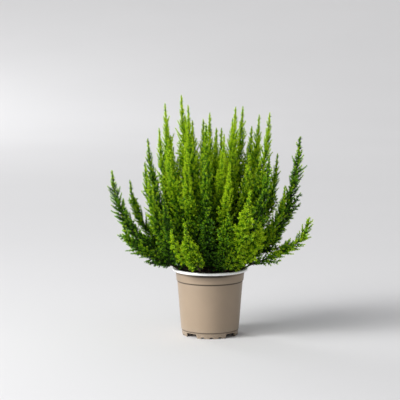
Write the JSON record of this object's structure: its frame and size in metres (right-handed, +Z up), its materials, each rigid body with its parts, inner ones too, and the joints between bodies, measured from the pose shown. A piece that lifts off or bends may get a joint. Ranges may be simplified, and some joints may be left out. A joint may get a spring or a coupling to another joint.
{
  "type": "potted heather",
  "caption": "Bushy potted heather out of flower: upright feathery green shoots in compost, in a round tapered nursery pot with a rolled pale lip.",
  "frame": {"origin": "on the pot's axis, in the plane that the pot's foot stands on", "axes": "+Z up the plant, -Y towards the side that the picture shows, +X to the right of that side"},
  "size_m": [0.2857, 0.2338, 0.35],
  "materials": {
    "pot_plastic": "satin taupe plastic, with a near-white rolled lip and inside",
    "compost": "damp dark brown peat-like compost, matte and crumbly",
    "bark": "rough brown bark, matte",
    "foliage": "soft matte green needle leaves, yellow-green at the tips and dark green inside"
  },
  "bodies": {
    "root": {"pot": "pot_plastic", "compost": "compost", "woody_base": "bark", "tall_shoot_01": "foliage", "tall_shoot_02": "foliage", "tall_shoot_03": "foliage", "tall_shoot_04": "foliage", "tall_shoot_05": "foliage", "tall_shoot_06": "foliage", "tall_shoot_07": "foliage", "tall_shoot_08": "foliage", "tall_shoot_09": "foliage", "tall_shoot_10": "foliage", "middle_shoot_01": "foliage", "middle_shoot_02": "foliage", "middle_shoot_03": "foliage", "middle_shoot_04": "foliage", "middle_shoot_05": "foliage", "middle_shoot_06": "foliage", "middle_shoot_07": "foliage", "middle_shoot_08": "foliage", "middle_shoot_09": "foliage", "middle_shoot_10": "foliage", "middle_shoot_11": "foliage", "middle_shoot_12": "foliage", "middle_shoot_13": "foliage", "middle_shoot_14": "foliage", "outer_shoot_01": "foliage", "outer_shoot_02": "foliage", "outer_shoot_03": "foliage", "outer_shoot_04": "foliage", "outer_shoot_05": "foliage", "outer_shoot_06": "foliage", "outer_shoot_07": "foliage", "outer_shoot_08": "foliage", "outer_shoot_09": "foliage", "outer_shoot_10": "foliage", "outer_shoot_11": "foliage", "outer_shoot_12": "foliage", "front_shoot_01": "foliage", "front_shoot_02": "foliage", "front_shoot_03": "foliage", "front_shoot_04": "foliage", "front_shoot_05": "foliage", "front_shoot_06": "foliage", "low_shoot_01": "foliage", "low_shoot_02": "foliage", "low_shoot_03": "foliage", "low_shoot_04": "foliage", "low_shoot_05": "foliage", "low_shoot_06": "foliage", "low_shoot_07": "foliage", "low_shoot_08": "foliage", "low_shoot_09": "foliage"}
  },
  "joints": []
}
